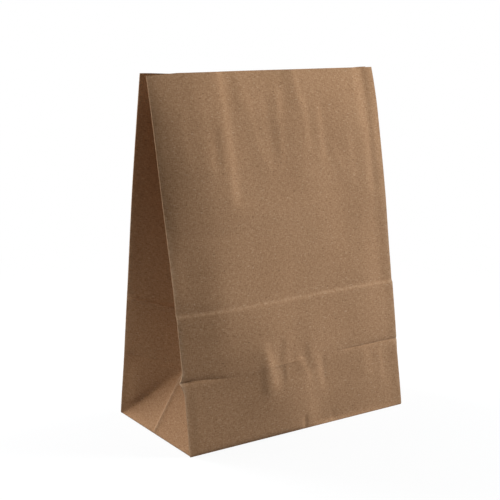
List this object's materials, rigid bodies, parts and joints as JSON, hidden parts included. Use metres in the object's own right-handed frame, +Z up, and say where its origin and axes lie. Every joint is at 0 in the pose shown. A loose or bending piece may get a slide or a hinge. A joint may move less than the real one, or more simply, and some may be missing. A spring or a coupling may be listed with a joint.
{
  "type": "paper bag",
  "caption": "Brown kraft lunch bag standing on its block bottom, with folded-in side gussets and a nearly closed mouth",
  "frame": {"origin": "on the floor, at the middle of the base", "axes": "+Z up the bag, -Y out of the front panel, +X to the right seen from the front"},
  "size_m": [0.2264, 0.1202, 0.297],
  "materials": {
    "kraft_paper": "uncoated brown kraft paper, matt, finely mottled"
  },
  "bodies": {
    "root": {"paper_bag": "kraft_paper"}
  },
  "joints": []
}
